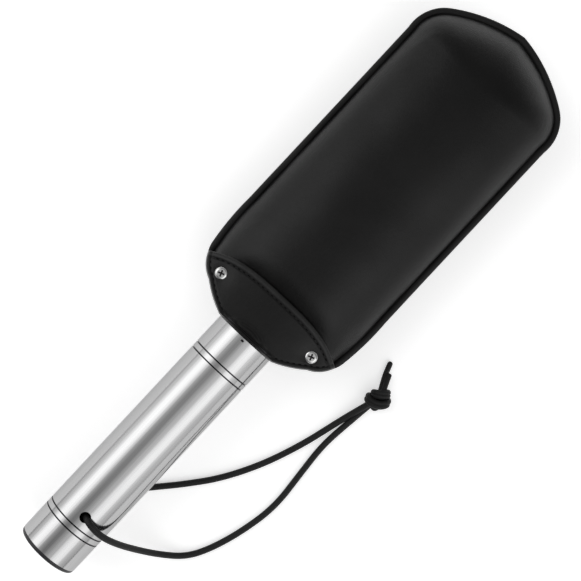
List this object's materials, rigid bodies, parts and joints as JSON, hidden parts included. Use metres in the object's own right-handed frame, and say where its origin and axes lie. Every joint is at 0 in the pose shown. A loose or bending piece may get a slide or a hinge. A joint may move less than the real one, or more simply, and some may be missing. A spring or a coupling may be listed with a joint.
{
  "type": "telescopic golf ball retriever",
  "caption": "Pocket golf ball retriever: a steel grip tube with a telescoping pole and a ball cage under a leather pouch, with a wrist cord.",
  "frame": {"origin": "centre of the bottom of the object's box without the wrist cord, where it lies on its back", "axes": "+Y from the butt of the grip to the tip of the pouch, +Z out of the pouch's front, +X to the right with the pouch's front facing the viewer and its tip up"},
  "size_m": [0.1109, 0.314, 0.0405],
  "materials": {
    "polished_steel": "mirror-polished stainless steel with turned rings",
    "pole_steel": "drawn stainless steel tube, fine lengthwise polish",
    "wire_steel": "bright stainless wire",
    "screw_steel": "nickel-plated, domed, cross recess",
    "black_plastic": "moulded, fine satin",
    "guide_plastic": "natural acetal",
    "red_plastic": "moulded acetal pawl",
    "black_rubber": "soft moulded",
    "black_leather": "smooth nappa leather, satin",
    "leather_edge": "folded leather binding",
    "black_cord": "round woven cord"
  },
  "bodies": {
    "grip": {"grip_tube": "polished_steel", "end_cap": "black_plastic", "stop_pad": "black_rubber", "guide_bush": "guide_plastic", "cup_frame": "black_plastic", "front_flap": "black_leather", "back_flap": "black_leather", "flap_screws": "screw_steel", "sleeve_nuts": "screw_steel", "cord_inside": "black_cord", "cord_front": "black_cord", "cord_back": "black_cord", "cord_knot": "black_cord", "cord_tail": "black_cord"},
    "pole_1": {"pole_section_1": "pole_steel", "slider_1": "guide_plastic"},
    "pole_2": {"pole_section_2": "pole_steel", "slider_2": "guide_plastic"},
    "pole_3": {"pole_section_3": "pole_steel", "slider_3": "guide_plastic"},
    "pole_4": {"pole_section_4": "pole_steel", "slider_4": "guide_plastic"},
    "pole_5": {"pole_section_5": "pole_steel", "slider_5": "guide_plastic"},
    "pole_6": {"pole_section_6": "pole_steel", "slider_6": "guide_plastic"},
    "pole_7": {"pole_section_7": "pole_steel", "slider_7": "guide_plastic"},
    "pole_8": {"pole_section_8": "pole_steel", "slider_8": "guide_plastic"},
    "head": {"pole_section_9": "pole_steel", "slider_9": "guide_plastic", "neck_pin": "screw_steel", "head_ferrule": "screw_steel", "entry_ring": "wire_steel", "stop_ring": "wire_steel", "cage_fork": "wire_steel", "cage_posts": "wire_steel", "pawl_brackets": "black_plastic", "pawl_pins": "wire_steel", "pawl_springs": "wire_steel"},
    "pawl_left": {"pawl_left": "red_plastic"},
    "pawl_right": {"pawl_right": "red_plastic"},
    "pouch": {"pouch_front": "black_leather", "pouch_back": "black_leather", "pouch_flange": "leather_edge"}
  },
  "joints": [
    {"name": "pole_slide_1", "type": "slide", "parent": "grip", "child": "pole_1", "axis": [0, 1, 0], "range_m": [0, 0.0775]},
    {"name": "pole_slide_2", "type": "slide", "parent": "pole_1", "child": "pole_2", "axis": [0, 1, 0], "range_m": [0, 0.1185]},
    {"name": "pole_slide_3", "type": "slide", "parent": "pole_2", "child": "pole_3", "axis": [0, 1, 0], "range_m": [0, 0.122]},
    {"name": "pole_slide_4", "type": "slide", "parent": "pole_3", "child": "pole_4", "axis": [0, 1, 0], "range_m": [0, 0.1255]},
    {"name": "pole_slide_5", "type": "slide", "parent": "pole_4", "child": "pole_5", "axis": [0, 1, 0], "range_m": [0, 0.129]},
    {"name": "pole_slide_6", "type": "slide", "parent": "pole_5", "child": "pole_6", "axis": [0, 1, 0], "range_m": [0, 0.1325]},
    {"name": "pole_slide_7", "type": "slide", "parent": "pole_6", "child": "pole_7", "axis": [0, 1, 0], "range_m": [0, 0.136]},
    {"name": "pole_slide_8", "type": "slide", "parent": "pole_7", "child": "pole_8", "axis": [0, 1, 0], "range_m": [0, 0.1395]},
    {"name": "pole_slide_9", "type": "slide", "parent": "pole_8", "child": "head", "axis": [0, 1, 0], "range_m": [0, 0.143]},
    {"name": "pawl_left_hinge", "type": "hinge", "parent": "head", "child": "pawl_left", "pos_m": [-0.0226, 0.114, 0.0284], "axis": [0, 1, 0], "range_deg": [0, 82], "stiffness_Nm_per_rad": 0.004, "springref_deg": -20.05},
    {"name": "pawl_right_hinge", "type": "hinge", "parent": "head", "child": "pawl_right", "pos_m": [0.0226, 0.114, 0.0284], "axis": [0, -1, 0], "range_deg": [0, 82], "stiffness_Nm_per_rad": 0.004, "springref_deg": -20.05},
    {"name": "pouch_slide", "type": "slide", "parent": "head", "child": "pouch", "axis": [0, 1, 0], "range_m": [0, 0.18]}
  ]
}
